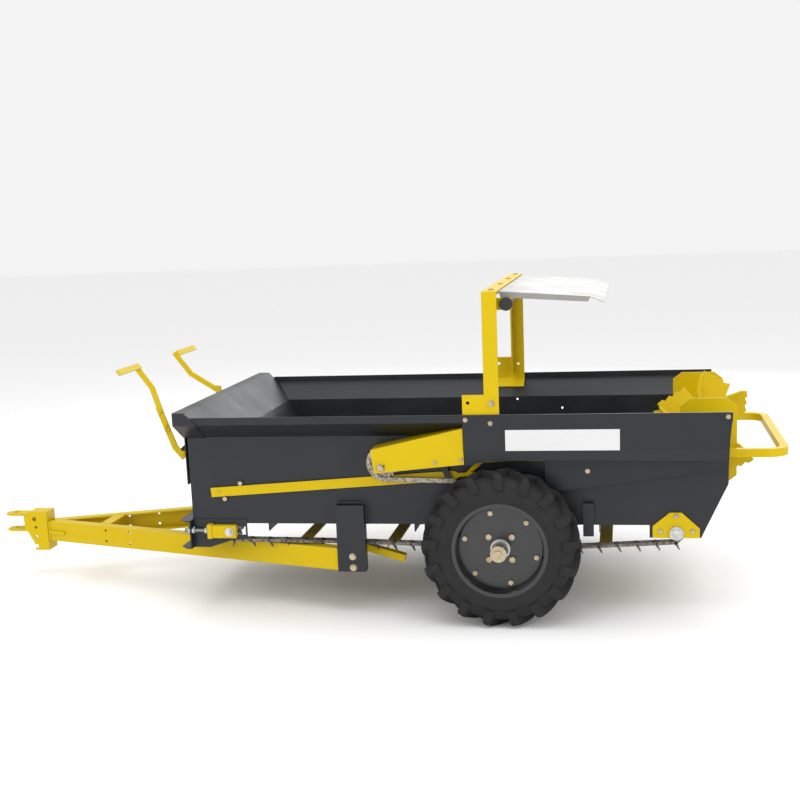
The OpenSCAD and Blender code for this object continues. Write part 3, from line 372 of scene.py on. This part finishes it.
def rounded_plate(length, height, thick, y):
    bpy.ops.object.select_all(action="DESELECT")
    bpy.ops.mesh.primitive_cube_add(size=1, location=(0, y, 0), scale=(length, thick, height))
    plate = bpy.context.object
    bpy.ops.object.transform_apply(location=True, rotation=True, scale=True)
    for e in plate.data.edges:
        a, b = (plate.data.vertices[k].co for k in e.vertices)
        e.select = abs(a.y - b.y) > thick / 2
    bpy.ops.object.mode_set(mode="EDIT")
    bpy.ops.mesh.select_mode(type="EDGE")
    bpy.ops.mesh.select_all(action="DESELECT")
    bpy.ops.object.mode_set(mode="OBJECT")
    for e in plate.data.edges:
        a, b = (plate.data.vertices[k].co for k in e.vertices)
        e.select = abs(a.y - b.y) > thick / 2
    bpy.ops.object.mode_set(mode="EDIT")
    bpy.ops.mesh.bevel(offset=height * 0.46, segments=3)
    bpy.ops.object.mode_set(mode="OBJECT")
    return plate


def peg(radius, length, x, y=0.0, sides=12):
    bpy.ops.object.select_all(action="DESELECT")
    bpy.ops.mesh.primitive_cylinder_add(vertices=sides, radius=radius, depth=length, location=(x, y, 0),
                                        rotation=(math.pi / 2, 0, 0))
    rod = bpy.context.object
    bpy.ops.object.transform_apply(location=True, rotation=True, scale=True)
    return rod


def thread_chain(points, y, links):
    """Copies of the given link meshes, in turn, from each point to the next."""
    laid = []
    for k, (x, z) in enumerate(points):
        nx, nz = points[(k + 1) % len(points)]
        copy = bpy.data.objects.new("link", links[k % len(links)].data.copy())
        bpy.context.scene.collection.objects.link(copy)
        middle = Matrix.Translation(((x + nx) / 2, y, (z + nz) / 2))
        copy.data.transform(middle @ Matrix.Rotation(-math.atan2(nz - z, nx - x), 4, "Y"))
        laid.append(copy)
    for link in links:
        bpy.data.objects.remove(link)
    return join(laid)


pitch = 0.01905
outer_link = join([rounded_plate(0.0295, 0.0150, 0.0016, 0.0062),
                   rounded_plate(0.0295, 0.0150, 0.0016, -0.0062),
                   peg(0.0024, 0.0150, -pitch / 2, sides=8), peg(0.0024, 0.0150, pitch / 2, sides=8)])
inner_link = join([rounded_plate(0.0300, 0.0165, 0.0016, 0.0044),
                   rounded_plate(0.0300, 0.0165, 0.0016, -0.0044),
                   peg(0.0059, 0.0072, -pitch / 2), peg(0.0059, 0.0072, pitch / 2)])
# idler, front guide, low guide, hub sprocket, low guide, rear guide, beater sprocket
drive_run = chain_points([(0.157, 0.551, 0.0579), (0.393, 0.467, -0.020), (0.397, 0.218, 0.020),
                          (0.565, 0.2725, -0.115), (0.733, 0.218, 0.020), (0.750, 0.440, -0.020),
                          (1.265, 0.600, 0.0398)], pitch)
beater_chain = thread_chain(drive_run, -0.457, [outer_link, inner_link])
settle(beater_chain, "beater_roller_chain", oiled_steel, "chassis", "drive_chain")

# Apron chains: pressed steel hook links, two bars and a cross barrel each, with a prong behind the hook.
# Each runs round the front and rear sprockets, over the floor and back under the axle.
def hook_link(length):
    bars = [rounded_plate(length + 0.012, 0.0108, 0.0055, side * 0.0150) for side in (1, -1)]
    barrel = peg(0.0062, 0.0350, length / 2, sides=14)
    collar = peg(0.0088, 0.0190, length / 2, sides=14)
    bpy.ops.object.select_all(action="DESELECT")
    bpy.ops.mesh.primitive_cone_add(vertices=8, radius1=0.0060, radius2=0.0022, depth=0.026,
                                    location=(length / 2 + 0.008, 0.0, -0.0165),
                                    rotation=(0, math.radians(155), 0))
    prong = bpy.context.object
    bpy.ops.object.transform_apply(location=True, rotation=True, scale=True)
    prong.data.transform(Matrix.Diagonal((1, 2.0, 1, 1)))
    return join(bars + [barrel, collar, prong])


# front sprocket, stand pin, sag of the lower run, rear sprocket
apron_run = chain_points([(-0.426, 0.300, 0.042), (-0.007, 0.240, -0.0132), (0.685, 1.6345, 1.4),
                          (1.155, 0.300, 0.042)], 0.066)
for side, node in ((-1, "apron_chain_left"), (1, "apron_chain_right")):
    step = math.dist(apron_run[0], apron_run[1])
    settle(thread_chain(apron_run, side * 0.400, [hook_link(step)]),
           node.replace("chain", "hook_chain"), dark_steel, "chassis", node)

# Take-up rods: threaded M14 rods that pull the front shaft forwards, with their hexagon nuts.
# Zinc plated; each passes the front channel and is locked there by two nuts.
take_up = [-0.597, -0.457, 0.304]       # front end of the near rod


def threaded_rod(start, length, radius, pitch=0.002):
    bpy.ops.object.select_all(action="DESELECT")
    turns = round(length / pitch)
    bpy.ops.mesh.primitive_circle_add(vertices=2 * turns + 4, radius=0.1)
    rod = bpy.context.object
    line = [(0.0, 0.0), (0.0, radius * 0.8)]
    line += [(length * (k + 0.5) / (2 * turns), radius * (1 - 0.17 * (k % 2))) for k in range(2 * turns)]
    line += [(length, radius * 0.8), (length, 0.0)]
    for v, (x, r) in zip(rod.data.vertices, line):
        v.co = (x, 0, r)
    edit(rod, lambda: bpy.ops.mesh.spin(steps=16, angle=2 * math.pi, center=(0, 0, 0), axis=(1, 0, 0)),
         lambda: bpy.ops.mesh.select_all(action="SELECT"),
         lambda: bpy.ops.mesh.remove_doubles(threshold=0.00005),
         lambda: bpy.ops.mesh.normals_make_consistent(inside=False))
    rod.data.transform(Matrix.Translation(start))
    return rod


def hexagon_nut(centre, flats, thick, axis):
    """A solid hexagon nut with chamfered corners, turned so that its axis lies along the given axis."""
    bpy.ops.object.select_all(action="DESELECT")
    bpy.ops.mesh.primitive_cylinder_add(vertices=6, radius=flats / 2 / math.cos(math.pi / 6), depth=thick)
    nut = bpy.context.object
    chamfer = nut.modifiers.new("chamfer", "BEVEL")
    chamfer.width, chamfer.segments, chamfer.limit_method = flats * 0.045, 2, "ANGLE"
    bpy.ops.object.modifier_apply(modifier="chamfer")
    bpy.ops.object.shade_smooth_by_angle(angle=math.radians(30))
    nut.data.transform(Matrix.Translation(centre) @ Vector(axis).to_track_quat("Z", "Y").to_matrix().to_4x4())
    return nut


rods = []
for side in (1, -1):
    x, y, z = take_up[0], take_up[1] * side, take_up[2]
    rods.append(threaded_rod((x + 0.0005, y, z), 0.0800 + 0.0620, 0.007))
    rods += [hexagon_nut((x + ahead, y, z), 0.024, 0.010, (1, 0, 0)) for ahead in (0.020, 0.035, 0.083)]
settle(join(rods), "threaded_take_up_rods", bright_zinc, "chassis", "tension_rods")

# Weld beads: short rippled fillet welds where the yellow drawbar and the grey posts and brackets are joined.
# Each bead is a row of overlapping flattened drops, coated with the steel that it joins.
def weld_bead(start, end, width=0.0055):
    bpy.ops.object.select_all(action="DESELECT")
    bpy.ops.mesh.primitive_ico_sphere_add(subdivisions=2, radius=width)
    drop = bpy.context.object
    run = Vector(end) - Vector(start)
    along = run.to_track_quat("X", "Z").to_matrix().to_4x4()
    drop.data.transform(along @ Matrix.Diagonal((0.55, 0.8, 0.8, 1)))
    bpy.ops.object.shade_smooth()
    count = max(3, round(run.length / (width * 0.5)))
    drops = []
    for k in range(count + 1):
        copy = bpy.data.objects.new("drop", drop.data.copy())
        bpy.context.scene.collection.objects.link(copy)
        copy.data.transform(Matrix.Translation(Vector(start) + run * k / count))
        drops.append(copy)
    bpy.data.objects.remove(drop)
    return join(drops)


bar_welds, post_welds = [], []
for side in (-1, 1):
    # hitch plate to the channels, channels to the crossmember
    bar_welds.append(weld_bead((-1.3435, side * 0.0310, 0.150), (-1.3435, side * 0.0310, 0.221)))
    bar_welds.append(weld_bead((-1.0975, side * 0.0640, 0.2275), (-1.0575, side * 0.0775, 0.2275), 0.0045))
    # posts and lever brackets to the sheet
    post_welds.append(weld_bead((-0.0260, side * 0.4385, 0.336), (-0.0260, side * 0.4385, 0.400)))
    post_welds.append(weld_bead((0.0770, side * 0.4385, 0.336), (0.0770, side * 0.4385, 0.400)))
    post_welds.append(weld_bead((-0.0240, side * 0.4385, 0.4025), (0.0750, side * 0.4385, 0.4025)))
    post_welds.append(weld_bead((-0.5875, side * 0.1935, 0.508), (-0.5875, side * 0.1935, 0.632), 0.0045))
settle(join(bar_welds), "drawbar_weld_beads", yellow_coat, "chassis")
settle(join(post_welds), "post_weld_beads", slate_coat, "chassis")
